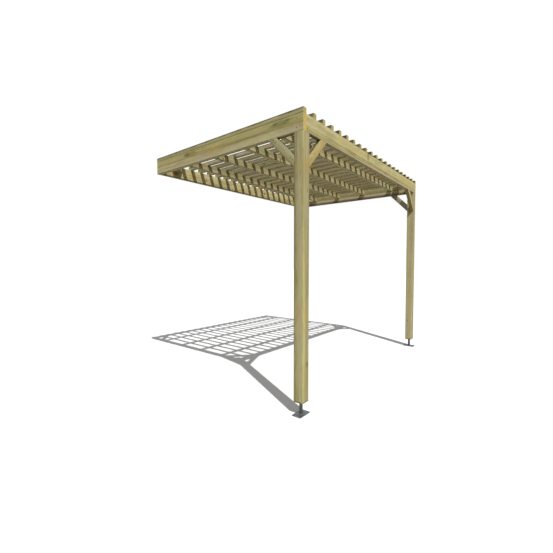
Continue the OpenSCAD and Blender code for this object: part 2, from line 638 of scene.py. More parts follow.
@dataclass(frozen=True)
class TreatedPine:
    """Planed Scots pine, green from its pressure treatment.

    The sapwood takes the copper salts and turns a yellow green, while the
    heartwood stays a warm buff. The eye reads long streaks of olive, gold and
    beige along the grain, wide where a face lies along the growth rings and
    fine where it cuts them, a darker line where the heartwood starts, a greener
    arris, and rings only on the sawn ends. Planed softwood is nearly matt.

    Attributes:
        pith: Where the pith ran, in row axes from the timber's middle line.
        heart_radius: The radius of the heartwood round the pith.
        ring: The width of a year's growth.
        sapwood: The sapwood's colour.
        heartwood: The heartwood's colour.
        latewood: The colour of the dark part of each ring.
        green: The colour of the patches where the treatment went in deep.
        gold: The colour of the resinous patches and streaks.
        dusky: The colour of the greyed patches.
        pale: The colour of the pale streaks.
        mottled: How far the patches show.
        streaked: How far the streaks show.
        end_grain: The colour of the sawn ends.
        knots: The knots that show.
        blotches: The patches that stand out.
        seed: Sets this timber's own pattern.
    """

    pith: Vector
    heart_radius: float = 45 * MM
    ring: float = 3.6 * MM
    sapwood: str = "#C6BC89"
    heartwood: str = "#BDAD86"
    latewood: str = "#8F824B"
    green: str = "#8E9253"
    gold: str = "#C4A35A"
    dusky: str = "#BBA183"
    pale: str = "#D6CFA4"
    mottled: float = 0.6
    streaked: float = 0.6
    end_grain: str = "#C6BB74"
    knots: tuple[Knot, ...] = ()
    blotches: tuple[Blotch, ...] = ()
    seed: float = 0.0

    # The trunk: how much it narrows in a metre, how far it wanders off a
    # straight line, and how often in a metre.
    taper: float = 0.006
    wander: Step = (35 * MM, 35 * MM, 0.0)
    wander_rate: float = 0.9
    # The width and the length of the fibres, the streaks, the patches and the
    # clouds that fray the blotches' edges.
    fibre: Step = (1.4 * MM, 70 * MM)
    streak: Step = (12 * MM, 900 * MM)
    patch: Step = (60 * MM, 260 * MM)
    ragged: Step = (18 * MM, 90 * MM)
    # Steps, each from where it starts to where it ends, with its two results
    # where they aren't 0 and 1. First a year's darkening and its sudden end.
    year_rise: Step = (0.35, 0.9)
    year_fall: Step = (0.92, 1.0, 1.0, 0.0)
    # The fibres' shade and roughness, in strengths of their cloud.
    fibre_shade: Step = (0.25, 0.75, 0.86, 1.1)
    fibre_gloss: Step = (0.2, 0.8, 0.74, 0.62)
    # A blotch's edge, in its own half-widths, to which the fraying adds.
    blotch_edge: Step = (2.0, 1.1, 0.0)
    # A knot in its own radii: the rings that it pushes out, the stained wood
    # round it, its bark, its own rings and its wood.
    knot_swell: Step = (0.0, 3.4)
    knot_halo: Step = (3.2, 1.0, 0.0, 0.5)
    knot_bark: Step = (1.15, 0.95, 0.0, 0.85)
    knot_rings: Step = (0.3, 0.9)
    knot_wood: Step = (0.95, 0.75)
    # The greener wood from an arris inwards.
    arris_edge: Step = (9 * MM, 1 * MM, 0.0, 0.4)
    # A face's turn towards the grain's end, as the cosine between them.
    end_facing: Step = (0.75, 0.95)

    def material(self, name: str, grain: Matrix, half: Vector) -> Material:
        """Builds the timber's material, with its pattern fixed in the row frame.

        Args:
            name: The timber's name.
            grain: The timber's own frame, with Z along it from its low end.
            half: Half the timber's size along that frame's X and Y.

        Returns:
            The material.
        """
        made = new_material(f"treated_pine_{name}")
        PinePattern(made.node_tree, self, grain, half).build()
        return made


@dataclass
class PinePattern(Shader):
    """The pattern of one timber, laid coat over coat.

    Attributes:
        look: The timber's finish.
        grain: The timber's own frame, with Z along it from its low end.
        half: Half the timber's size along that frame's X and Y.
    """

    look: TreatedPine
    grain: Matrix
    half: Vector

    def __post_init__(self) -> None:
        """Empties the tree, and finds each point's place in the timber and the log."""
        super().__post_init__()
        place = self.add("TexCoord").outputs
        self.timber = self.add("Mapping", {
            "Vector": place["Object"], "Location": self.grain.translation,
            "Rotation": self.grain.to_euler()}, vector_type="TEXTURE")
        self.turn = self.grain.to_3x3().transposed()
        self.log = self.add("VectorMath", (self.timber, self.turn @ self.look.pith),
                            operation="SUBTRACT")
        self.shifted = self.add("VectorMath", (self.log, (self.look.seed, 0, 0)), operation="ADD")
        self.fibres = self.clouds(self.shifted, *self.look.fibre)[0]
        along = self.add("VectorMath", (place["Normal"], self.grain.col[2].to_3d()),
                         operation="DOT_PRODUCT")
        endwise = self.add("Math", (along,), operation="ABSOLUTE")
        self.on_end = self.add("MapRange", (endwise, *self.look.end_facing), **SMOOTH)
        self.tone: object = colour(self.look.sapwood)

    def build(self) -> None:
        """Lays all the coats and shows them."""
        radius, to_knot = self._growth()
        late, year = self._years(radius)
        self._clear_wood(radius, late, year)
        self._blotches()
        if to_knot is not None:
            self._knots(to_knot)
        self._arrises()
        shade = self.add("MapRange", (self.fibres, *self.look.fibre_shade), **SMOOTH)
        self._coat(1.0, self.add("CombineXYZ", (shade, shade, shade)), "MULTIPLY")
        half_late = self.add("Math", (late, 0.5), operation="MULTIPLY")
        sawn = self.add("Mix", {0: half_late, UNDER: colour(self.look.end_grain),
                                OVER: colour(self.look.latewood)}, data_type="RGBA")
        self._coat(self.add("Math", (self.on_end, 0.9), operation="MULTIPLY"), sawn)
        relief = self.add("Math", (half_late, self.fibres), operation="ADD")
        bump = self.add("Bump", {"Strength": 0.35, "Distance": 0.5 * MM, "Height": relief})
        gloss = self.add("MapRange", (self.fibres, *self.look.fibre_gloss), **SMOOTH)
        surface = self.add("BsdfPrincipled", {
            "Base Color": self.tone, "Roughness": gloss, "Normal": bump})
        surface.inputs["Specular IOR Level"].default_value = 0.3
        self.add("OutputMaterial", (surface,))

    def _coat(self, share: object, over: Signal | str, way: str = "MIX") -> None:
        """Lays a coat over the tone so far.

        Args:
            share: How far it covers the tone.
            over: Its colour, as a hex code or as a signal.
            way: How the two are blended.
        """
        over = colour(over) if isinstance(over, str) else over
        self.tone = self.add("Mix", {0: share, UNDER: self.tone, OVER: over},
                             data_type="RGBA", blend_type=way)

    def _growth(self) -> tuple[Signal, Signal | None]:
        """Works out how far out each point grew, and how near it is to a knot.

        Returns:
            The distance from the pith, with the bends that the trunk's wander,
            its taper and the knots give the rings, and the distance to the
            nearest knot in knot radii, or None if there is no knot.
        """
        look = self.look
        along = self.add("SeparateXYZ", (self.log,)).outputs["Z"]
        noise = self.add("TexNoise", {
            "W": self.add("Math", (along, look.seed), operation="ADD"),
            "Scale": look.wander_rate, "Detail": 2.0, "Roughness": 0.45}, noise_dimensions="1D")
        sway = self.add("VectorMath", (noise.outputs["Color"], (0.5, 0.5, 0.5)),
                        operation="SUBTRACT")
        sway = self.add("VectorMath", (sway, look.wander, self.log), operation="MULTIPLY_ADD")
        radius = self._distance(sway, (1, 1, 0))
        radius = self.add("Math", (along, -look.taper, radius), operation="MULTIPLY_ADD")
        nearest = None
        for knot in look.knots:
            branch = self.turn @ (knot.place - look.pith)
            at_knot = self.add("Mapping", {
                "Vector": self.log, "Location": (0, 0, branch.z),
                "Rotation": (0, 0, math.atan2(branch.y, branch.x)),
                "Scale": (1, knot.radius, knot.radius)}, vector_type="TEXTURE")
            reach, swell = (self._distance(at_knot, (0, 1, squeeze)) for squeeze in (0.6, 0.3))
            push = (swell, *look.knot_swell, 1.3 * knot.radius, 0.0)
            radius = self.add("Math", (radius, self.add("MapRange", push, **SMOOTH)),
                              operation="ADD")
            nearest = reach if nearest is None else self.add("Math", (nearest, reach),
                                                             operation="MINIMUM")
        return radius, nearest

    def _distance(self, point: Signal, scale: Sequence[float]) -> Node:
        """Returns a point's distance from the origin once its axes are scaled."""
        scaled = self.add("VectorMath", (point, scale), operation="MULTIPLY")
        return self.add("VectorMath", (scaled,), operation="LENGTH")

    def _years(self, radius: Signal) -> tuple[Signal, Signal]:
        """Draws the years' growth.

        Args:
            radius: The distance from the pith.

        Returns:
            How much latewood there is, and a random number for each year.
        """
        ring = self.look.ring
        uneven = self.add("TexNoise", {"W": radius, "Scale": 0.35 / ring, "Detail": 1.0},
                          noise_dimensions="1D")
        drift = self.add("Math", (uneven, 2.5), operation="MULTIPLY")
        years = self.add("Math", (radius, 1 / ring, drift), operation="MULTIPLY_ADD")
        part = self.add("Math", (years,), operation="FRACT")
        rise_and_fall = [self.add("MapRange", (part, *step), **SMOOTH)
                         for step in (self.look.year_rise, self.look.year_fall)]
        late = self.add("Math", rise_and_fall, operation="MULTIPLY")
        number = self.add("Math", (years,), operation="FLOOR")
        return late, self.add("TexWhiteNoise", {"W": number}, noise_dimensions="1D")

    def _clear_wood(self, radius: Signal, late: Signal, year: Signal) -> None:
        """Colours clear timber.

        Args:
            radius: The distance from the pith.
            late: How much latewood there is.
            year: A random number for each year.
        """
        look = self.look
        deep, resin, grey = self.clouds(self.shifted, *look.patch, detail=3.0)
        dark, bright, light = self.clouds(self.shifted, *look.streak)
        edge = self.add("Math", (deep, 14 * MM, radius), operation="MULTIPLY_ADD")
        # The heartwood, and the rise and the fall of the dark line round it.
        heart, *line = (
            self.add("MapRange", (edge, look.heart_radius + start * MM,
                                  look.heart_radius + end * MM), **SMOOTH)
            for start, end in ((11, 4), (0, 8), (24, 10)))
        self._coat(heart, look.heartwood)
        line = self.add("Math", line, operation="MULTIPLY")
        # Each coat's cloud, the strengths at which it starts to show and is
        # full, how far it then covers the wood, and its colour.
        for cloud, start, full, share, tint in (
                (line, 0.0, 1.0, 0.45, look.latewood),
                (deep, 0.48, 0.68, look.mottled, look.green),
                (resin, 0.5, 0.7, 0.9 * look.mottled, look.gold),
                (grey, 0.48, 0.68, look.mottled, look.dusky),
                (dark, 0.5, 0.72, look.streaked, look.latewood),
                (bright, 0.52, 0.7, 0.7 * look.streaked, look.gold),
                (light, 0.52, 0.7, 0.8 * look.streaked, look.pale)):
            self._coat(self.add("MapRange", (cloud, start, full, 0.0, share), **SMOOTH), tint)
        drawn = self.add("Math", (year, 0.45, 0.2), operation="MULTIPLY_ADD")
        self._coat(self.add("Math", (late, drawn), operation="MULTIPLY"), look.latewood)

    def _blotches(self) -> None:
        """Lays the blotches, with edges broken up by the fibres."""
        if not self.look.blotches:
            return
        cloud = self.clouds(self.timber, *self.look.ragged)[0]
        frayed = self.add("Math", (self.fibres, 0.35), operation="MULTIPLY")
        ragged = self.add("Math", (cloud, 1.2, frayed), operation="MULTIPLY_ADD")
        for blotch in self.look.blotches:
            inside = self.add("Mapping", {
                "Vector": self.timber, "Location": self.turn @ blotch.place,
                "Scale": (blotch.across, blotch.across, blotch.along)}, vector_type="TEXTURE")
            reach = self.add("VectorMath", (inside,), operation="LENGTH")
            reach = self.add("Math", (ragged, reach), operation="ADD")
            edge = (reach, *self.look.blotch_edge, blotch.share)
            self._coat(self.add("MapRange", edge, **SMOOTH), blotch.tint)

    def _knots(self, reach: Signal) -> None:
        """Colours the knots and the wood round them.

        Args:
            reach: The distance to the nearest knot, in knot radii.
        """
        rings = self.add("Math", (reach, 4.0), operation="MULTIPLY")
        part = self.add("Math", (rings,), operation="FRACT")
        late = self.add("MapRange", (part, *self.look.knot_rings), **SMOOTH)
        wood = self.add("Mix", {0: late, UNDER: colour("#8C7A48"), OVER: colour("#75643A")},
                        data_type="RGBA")
        for step, over in ((self.look.knot_halo, "#7D7F45"), (self.look.knot_bark, "#57502A"),
                           (self.look.knot_wood, wood)):
            self._coat(self.add("MapRange", (reach, *step), **SMOOTH), over)

    def _arrises(self) -> None:
        """Darkens the arrises, where the treatment goes in from two sides."""
        place = self.add("VectorMath", (self.timber,), operation="ABSOLUTE")
        inset = self.add("VectorMath", ((self.half.x, self.half.y, 0), place),
                         operation="SUBTRACT")
        insets = self.add("SeparateXYZ", (inset,)).outputs
        from_arris = self.add("Math", (insets["X"], insets["Y"]), operation="MAXIMUM")
        step = (from_arris, *self.look.arris_edge)
        self._coat(self.add("MapRange", step, **SMOOTH), self.look.green)


@dataclass(frozen=True)
class GalvanisedSteel:
    """Hot-dip galvanised steel: a dull grey zinc coat with faint crystals.

    Attributes:
        pale: The colour of the lighter crystals.
        dark: The colour of the darker ones.
        dull: The colour where the coat has gone dull.
        crystal: The width of a crystal.
    """

    pale: str = "#7A8080"
    dark: str = "#5E6465"
    dull: str = "#6B7170"
    crystal: float = 9 * MM

    def material(self, name: str) -> Material:
        """Builds the material.

        Args:
            name: The material's name.

        Returns:
            The material.
        """
        made = new_material(name)
        shader = Shader(made.node_tree)
        place = shader.add("TexCoord").outputs["Object"]
        crystals = shader.add("TexVoronoi", {"Vector": place, "Scale": 1 / self.crystal})
        grain = shader.add("SeparateXYZ", (crystals.outputs["Color"],))
        tone = shader.add("Mix", {0: grain, UNDER: colour(self.pale), OVER: colour(self.dark)},
                          data_type="RGBA")
        cloud = shader.add("TexNoise", {"Vector": place, "Scale": 1 / (3 * self.crystal),
                                        "Detail": 4.0})
        dull = shader.add("MapRange", (cloud, 0.4, 0.7, 0.0, 0.5), **SMOOTH)
        tone = shader.add("Mix", {0: dull, UNDER: tone, OVER: colour(self.dull)},
                          data_type="RGBA")
        rough = shader.add("MapRange", (grain, 0.0, 1.0, 0.45, 0.6), **SMOOTH)
        shader.show_metal(tone, rough, 0.85)
        return made


@dataclass(frozen=True)
class CoatedScrew:
    """Steel with a thin olive-brown weather coat, as decking screws have.

    Attributes:
        coat: The coat's colour.
        worn: The colour where the driver has rubbed it.
        rubbed: The width of a rubbed spot.
    """

    coat: str = "#5E5A46"
    worn: str = "#8B8878"
    rubbed: float = 1.7 * MM

    def material(self, name: str) -> Material:
        """Builds the material.

        Args:
            name: The material's name.

        Returns:
            The material.
        """
        made = new_material(name)
        shader = Shader(made.node_tree)
        place = shader.add("TexCoord").outputs["Object"]
        rub = shader.add("TexNoise", {"Vector": place, "Scale": 1 / self.rubbed, "Detail": 3.0})
        bare = shader.add("MapRange", (rub, 0.55, 0.7), **SMOOTH)
        tone = shader.add("Mix", {0: bare, UNDER: colour(self.coat), OVER: colour(self.worn)},
                          data_type="RGBA")
        rough = shader.add("MapRange", (rub, 0.4, 0.7, 0.5, 0.35), **SMOOTH)
        shader.show_metal(tone, rough, 0.7)
        return made


# ------------------------------------------------------------ sub-assemblies


# The fields of a timber's finish that aren't left to chance.
Look = dict[str, object]


def draw_for(name: str) -> random.Random:
    """Returns a source of random numbers that is always the same for a name."""
    return random.Random(f"pine {name}")


# A blotch on a face, in millimetres: how far its middle is along the timber and
# across the face from its middle line, its half-width and its half-length. Then
# its tint, and how far it covers the wood.
Patch = tuple[float, float, float, float, str, float]
# How far under the face a blotch's middle lies.
SKIN = 0.5 * MM


def patches(node: str, run: Run, outward: Vector, *rows: Patch) -> tuple[Blotch, ...]:
    """Lays blotches on one long face of a timber.

    Args:
        node: The timber's node.
        run: The axis that it runs along.
        outward: The face's outward normal.
        *rows: The blotches; a later one lies over an earlier one.

    Returns:
        The blotches.
    """
    low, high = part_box(node)
    face = [abs(part) > 0.5 for part in outward].index(True)
    over = 3 - run.index - face
    laid = []
    for along, across, half_width, half_length, tint, share in rows:
        place = outward * ((high - low)[face] / 2 - SKIN)
        place[run.index], place[over] = along * MM, across * MM
        laid.append(Blotch(place, half_width * MM, half_length * MM, tint, share))
    return tuple(laid)


@dataclass(frozen=True)
class Sawmill:
    """Chooses where in its log a timber was cut from, and the knots that it has.

    The pairs are ranges to draw from, in metres or, for the radii and the
    ring, in millimetres.

    Attributes:
        pith_reach: How far off a timber's middle the pith may run, in widths.
        first_knot: How high the lowest knot is.
        knot_step: How far apart the knots are.
        most_knots: The most knots that a timber has.
        knot_spread: How far off a face's middle line a knot may be, in widths.
        knot_radius: A knot's radius.
        flattest: The sine of the flattest angle at which a branch may leave a
            face. A flatter one would show as a spike right across the face,
            which is sorted out as a fault.
        heart_radius: The heartwood's radius.
        ring: A year's growth.
        mottled: How far the patches show.
        seeds: The numbers that set a pattern.
    """

    pith_reach: float = 1.1
    first_knot: tuple[float, float] = (0.1, 0.5)
    knot_step: tuple[float, float] = (0.35, 0.9)
    most_knots: int = 5
    knot_spread: float = 0.35
    knot_radius: tuple[float, float] = (5, 10)
    flattest: float = 0.6
    heart_radius: tuple[float, float] = (25, 55)
    ring: tuple[float, float] = (2.8, 4.6)
    mottled: tuple[float, float] = (0.4, 0.7)
    seeds: tuple[float, float] = (0, 50)

    def choose(self, name: str, run: Run, size: Vector, **changes: object) -> TreatedPine:
        """Chooses a timber's finish.

        Args:
            name: The timber's name, which fixes the choice.
            run: The axis that it runs along.
            size: The timber's box.
            **changes: Fields of TreatedPine to set as given.

        Returns:
            The finish.
        """
        draw = draw_for(name)
        pith = Vector((0, 0, 0))
        for index in run.across:
            pith[index] = draw.uniform(-self.pith_reach, self.pith_reach) * size[index]
        values = {
            "pith": pith,
            "knots": self._knots(draw, run, size, pith),
            "heart_radius": draw.uniform(*self.heart_radius) * MM,
            "ring": draw.uniform(*self.ring) * MM,
            "mottled": draw.uniform(*self.mottled),
            "seed": draw.uniform(*self.seeds)}
        return TreatedPine(**{**values, **changes})

    def _knots(self, draw: random.Random, run: Run, size: Vector,
               pith: Vector) -> tuple[Knot, ...]:
        """Chooses a timber's knots, without those that would show as spikes.

        Args:
            draw: The source of random numbers.
            run: The axis that the timber runs along.
            size: The timber's box.
            pith: Where the pith ran.

        Returns:
            The knots.
        """
        knots, height = [], draw.uniform(*self.first_knot)
        while height < size[run.index] and len(knots) < self.most_knots:
            place = Vector((0, 0, 0))
            place[run.index] = height
            face, over = draw.sample(run.across, 2)
            place[face] = draw.choice((-0.5, 0.5)) * size[face]
            place[over] = draw.uniform(-self.knot_spread, self.knot_spread) * size[over]
            knot = Knot(place, draw.uniform(*self.knot_radius) * MM)
            branch = place - pith
            branch[run.index] = 0
            if abs(branch[face]) > self.flattest * branch.length:
                knots.append(knot)
            height += draw.uniform(*self.knot_step)
        return tuple(knots)


SAWMILL = Sawmill()


@dataclass
class Assembly:
    """Something that is made in the workshop.

    Attributes:
        shop: The stock and the tools that it is made with.
    """

    shop: "Workshop"


@dataclass
class Timber(Assembly):
    """A straight length of planed timber over one node.

    Attributes:
        node: The node that it stands for.
        run: The axis that it runs along.
        slot: The record's material slot; not used.
        look: What sets its finish.
        screws: The places of the screws sunk into it, facing outward.
        splits: How many drying splits it has.
        arris: The radius of its long edges.
    """

    node: str
    run: Run
    slot: str
    look: Look
    screws: Sequence[Matrix] = ()
    splits: int = 0
    arris: float = 3 * MM

    def __post_init__(self) -> None:
        """Reads the timber's box from the frame."""
        self.low, self.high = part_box(self.node)
        self.size = self.high - self.low

    def build(self) -> None:
        """Models and dresses the timber."""
        obj = self.shape()
        self.shop.splitter.open_splits(obj, self)
        if self.screws:
            cut_with(obj, self.shop.screw.dents(self.screws))
        finish = SAWMILL.choose(self.node, self.run, self.size, **self.look)
        finish_piece(obj, finish.material(self.node, *self.grain()), self.node)

    def shape(self) -> Object:
        """Cuts the bare length of timber and returns it."""
        return self.shop.stock.length(self)

    def grain(self) -> tuple[Matrix, Vector]:
        """Finds the timber's own frame.

        Returns:
            The frame, with Z along it from the middle of its low end, and half
            the timber's size along the frame's X and Y.
        """
        axes = Matrix.Identity(3)
        first, second = self.run.across
        turn = Matrix((axes[first], axes[second], self.run.value)).transposed()
        foot = (self.low + self.high) / 2
        foot[self.run.index] = self.low[self.run.index]
        half = Vector((self.size[first], self.size[second], 0)) / 2
        return Matrix.Translation(foot) @ turn.to_4x4(), half


@dataclass
class Post(Timber):
    """A post whose head is rebated so that two beams sit on its shoulders.

    Attributes:
        side: The side that it stands on.
    """

    side: Side = Side.LEFT

    def shape(self) -> Object:
        """Copies the bare left post, mirrored for the right side.

        Returns:
            The post, without splits.
        """
        blanks = self.shop.stock.blanks
        if "post" not in blanks:
            blanks["post"] = self._bare_post()
        mirror = Matrix.Diagonal((-self.side.sign, 1, 1, 1))
        return copy_of(blanks["post"], f"{self.node}_timber", mirror)

    def _bare_post(self) -> Object:
        """Models the left post's shaft, then draws the head's core up from its top.

        Returns:
            The left post, without splits.
        """
        low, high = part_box("left_post")
        inner_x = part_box("left_side_beam")[1].x
        inner_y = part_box("front_beam")[1].y
        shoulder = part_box("left_side_beam")[0].z
        obj = block("bare_post", low, Vector((high.x, high.y, shoulder)))

        def is_core(face: BMFace) -> bool:
            """Says whether a face is the part of the shaft's top that goes on up."""
            middle = face.calc_center_median()
            return face.normal.z > ALIGNED and middle.x > inner_x and middle.y > inner_y

        with editing(obj):
            divide((inner_x, 0, 0), (1, 0, 0))
            divide((0, inner_y, 0), (0, 1, 0))
            select(obj, Element.FACE, is_core)
            bpy.ops.mesh.extrude_region_move(
                TRANSFORM_OT_translate={"value": (0, 0, high.z - shoulder)})
        round_arrises(obj, UP, self.arris)
        return obj


@dataclass
class Posts(Assembly):
    """The two posts that carry the front of the frame.

    Attributes:
        arris: The radius of their long edges.
        splits: How many drying splits each has.
        damp_and_painted_shade: How high the damp has risen from their lower ends.
    """

    arris: float = 6 * MM
    splits: int = 2
    damp_and_painted_shade: float = 14 * MM

    def build(self) -> None:
        """Models and dresses both posts."""
        for side, look in ((Side.LEFT, self._left_look()), (Side.RIGHT, self._right_look())):
            Post(self.shop, f"{side.value}_post", Run.UPRIGHT, "post_timber", look,
                 splits=self.splits, arris=self.arris, side=side).build()

    def _end_band(self, tint: str) -> Blotch:
        """Returns the damp wood at a post's lower end, as wide as the post and more."""
        return Blotch(Vector((0, 0, -1)) * MM, 250 * MM, self.damp_and_painted_shade, tint, 0.8)

    def _left_look(self) -> Look:
        """Returns the left post's look, with the patches on its two outer faces."""
        outer = patches(
            "left_post", Run.UPRIGHT, -RIGHTWARD,
            (1140, -8, 40, 1700, "#DED5A2", 0.55), (1140, 47, 12, 1700, "#807F4A", 0.65),
            (2000, 0, 36, 95, "#CDAC66", 0.45), (776, -8, 30, 70, "#D6AC84", 0.45),
            (1050, 22, 22, 80, "#9E9E55", 0.5), (1525, 5, 30, 140, "#CBBDA3", 0.5),
            (515, -12, 26, 70, "#D0C5AE", 0.5))
        front = patches(
            "left_post", Run.UPRIGHT, -BACKWARD,
            (1140, 46, 22, 1700, "#9C9A68", 0.55), (2000, 5, 34, 95, "#C49E55", 0.5),
            (755, -8, 28, 85, "#CBAC58", 0.5), (1800, 20, 10, 24, "#76703A", 0.6),
            (1040, 30, 14, 130, "#847C52", 0.5), (2235, -22, 12, 40, "#B7A548", 0.6))
        return {
            "pith": Vector((30, 20, 0)) * MM, "heart_radius": 72 * MM, "sapwood": "#DAD295",
            "heartwood": "#B6AC7F", "mottled": 0.35,
            "knots": (Knot(Vector((18, -47, 326)) * MM, 8 * MM),),
            "blotches": (*outer, *front, self._end_band("#6E6846"))}

    def _right_look(self) -> Look:
        """Returns the right post's look, with the patches on its left and front faces."""
        inner = patches(
            "right_post", Run.UPRIGHT, -RIGHTWARD,
            (1140, -18, 40, 3000, "#DFC9A1", 0.5), (1140, 44, 42, 3000, "#D8DC9C", 0.7),
            # The brown patch high on the inner face, under the brace, is painted shade.
            (2010, 0, 30, 60, "#86623B", 0.65), (1500, -30, 22, 110, "#CDB678", 0.4),
            (800, -15, 26, 90, "#CDB070", 0.45), (290, 15, 9, 18, "#7D7A40", 0.6))
        front = patches(
            "right_post", Run.UPRIGHT, -BACKWARD,
            (120, 20, 60, 500, "#A69E78", 0.6), (1120, -20, 40, 190, "#A9AC68", 0.5))
        return {
            "pith": Vector((38, -45, 0)) * MM, "heart_radius": 66 * MM, "sapwood": "#E1D7A2",
            "heartwood": "#A19A6D", "mottled": 0.35, "knots": (),
            "blotches": (*inner, *front, self._end_band("#7D7650"))}


@dataclass(frozen=True)
class SlatBatch:
    """Slats that lie side by side and share their tints, painted shade and painted light.

    Attributes:
        last: The number of its last slat.
        tints: The pairs of sapwood and heartwood that its slats are chosen from.
        Batches further right are darker: the wood's tone, with painted shade
        where less light gets under the roof.
        side: How far painted shade darkens their left sides.
        under: How far painted light brightens their undersides.
    """

    last: int
    tints: tuple[tuple[str, str], ...]
    side: float
    under: float


@dataclass
class Roof(Assembly):
    """The slats and the crossbeams under them.

    Attributes:
        slats: The number of slats.
        crossbeams: The number of crossbeams.
        stray: How far a screw may be off the slat's and the carrier's middle
            lines, in millimetres.
        batches: The batches of slats, from the left.
        carriers: Each crossbeam's sapwood and heartwood, and how strong the painted
        shade along its upper edge under the slats is.
        end_grains: The colours of the slats' sawn ends.
    """

    slats: int = 21
    crossbeams: int = 4
    stray: tuple[float, float] = (4, 5)
    batches: tuple[SlatBatch, ...] = (
        # Darker batches to the right: the wood's tone, with painted shade where less light gets
        # in.
        SlatBatch(4, (("#E6E1BA", "#DDD5B0"),), side=0.0, under=0.55),
        SlatBatch(6, (("#DAD5AC", "#D0C7A2"), ("#D5D2A8", "#CBC4A0")), side=0.5, under=0.65),
        SlatBatch(9, (("#CCC29F", "#C1B59B"), ("#D2C7A4", "#C6B99B")), side=0.25, under=0.25),
        SlatBatch(14, (("#C4B987", "#BBAD83"), ("#C0B68C", "#B4A887")), side=0.22, under=0.15),
        SlatBatch(21, (("#BFB286", "#B4A57F"), ("#B7AB87", "#AB9F83"), ("#BDB37F", "#B2A676")),
                  side=0.4, under=0.12))
    carriers: tuple[tuple[str, str, float], ...] = (
        ("#D6CFA2", "#CDC29C", 0.15), ("#DAD2A3", "#D0C59A", 0.45),
        ("#D1C89E", "#C8BC94", 0.55), ("#CBC59C", "#C3B890", 0.6))
    end_grains: tuple[str, ...] = ("#B9B36E", "#C3BC78", "#AEA765")

    def build(self) -> None:
        """Models and dresses the slats and the crossbeams."""
        crossbeams = [f"crossbeam_{number}" for number in range(1, self.crossbeams + 1)]
        carriers = ("front_beam", *crossbeams, "wall_plate")
        middles = [sum(corner.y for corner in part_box(name)) / 2 for name in carriers]
        heads = []
        for number in range(1, self.slats + 1):
            node = f"slat_{number:02d}"
            draw = draw_for(f"screws in {node}")
            screws = self._screws(node, middles, draw)
            heads += screws
            Timber(self.shop, node, Run.FRONT_TO_BACK, "slat_timber",
                   self._slat_look(node, number, draw), screws, draw.randint(0, 1)).build()
        for node, carrier in zip(crossbeams, self.carriers):
            look = self._crossbeam_look(node, *carrier)
            Timber(self.shop, node, Run.ALONG_WALL, "beam_timber", look).build()
        self.shop.screw.heads("slat_screws", heads)

    def _screws(self, node: str, middles: Sequence[float], draw: random.Random) -> list[Matrix]:
        """Places a slat's screws, one over each timber that carries it.

        Args:
            node: The slat's node.
            middles: The places in Y of the carrying timbers.
            draw: The source of random numbers.

        Returns:
            The screws' places.
        """
        low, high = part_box(node)
        middle, (aside, ahead) = (low.x + high.x) / 2, self.stray
        return [facing(Vector((middle + draw.uniform(-aside, aside) * MM,
                               y + draw.uniform(-ahead, ahead) * MM, high.z)), UP)
                for y in middles]

    def _slat_look(self, node: str, number: int, draw: random.Random) -> Look:
        """Returns a slat's look.

        Its left side carries painted shade and its underside painted light, a
        strip of painted shade runs along its upper left arris, and more painted
        shade lies on its left side behind the sawn end. The leftmost slat shows
        its whole side and is cleaner, with only the painted shade on its arris.

        Args:
            node: The slat's node.
            number: The slat's number, from the left.
            draw: The source of random numbers.

        Returns:
            The look.
        """
        low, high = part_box(node)
        size = high - low
        batch = next(batch for batch in self.batches if number <= batch.last)
        sapwood, heartwood = draw.choice(batch.tints)

        def strip(x: float, z: float, across: float, tint: str, share: float) -> Blotch:
            """Returns a blotch that runs the slat's whole length."""
            place = Vector((x * size.x, size.y, z * size.z)) / 2
            return Blotch(place, across * MM, 2 * size.y, tint, share)

        # The leftmost slat's dark strip along its upper left arris is painted shade.
        if number == 1:
            return {"sapwood": "#D2CC88", "heartwood": "#CDC692", "mottled": 0.4, "knots": (),
                    "blotches": (strip(-1, 1, 16, "#3E3820", 0.95),), "end_grain": "#C6B266"}
        # Painted shade on the left side, just behind the sawn end.
        behind = Vector((-size.x / 2, draw.uniform(55, 80) * MM, size.z / 2))
        sawn = Blotch(behind, draw.uniform(40, 47) * MM, draw.uniform(115, 145) * MM,
                      "#342B13", 0.95)
        # Painted shade on the left side, and painted light on the underside.
        blotches = (strip(-1, 0, 27, "#6F6740", batch.side),
                    strip(0, -1, 24, "#F2EBC4", batch.under),
                    # Painted shade along the upper left arris.
                    strip(-1, 1, 15, "#6A633E", 0.85), sawn)
        return {"sapwood": sapwood, "heartwood": heartwood, "mottled": 0.35,
                "blotches": blotches, "end_grain": draw.choice(self.end_grains)}

    def _crossbeam_look(self, node: str, sapwood: str, heartwood: str,
                        damp_and_painted_shade: float) -> Look:
        """Returns a crossbeam's look, with painted light below and painted shade under the slats.

        Args:
            node: The crossbeam's node.
            sapwood: Its sapwood's colour.
            heartwood: Its heartwood's colour.
            damp_and_painted_shade: How strong the painted shade along its upper edge is.

        Returns:
            The look.
        """
        low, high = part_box(node)
        half = (high - low) / 2
        # Painted light on the underside, and painted shade along the upper edge under the slats.
        below = Blotch(Vector((half.x, 0, -half.z)), 18 * MM, 2 * half.x, "#F8EAAC", 0.85)
        above = Blotch(Vector((half.x, -half.y, half.z)), 45 * MM, 3 * half.x, "#6E6640", damp_and_painted_shade)
        return {"sapwood": sapwood, "heartwood": heartwood, "blotches": (below, above)}


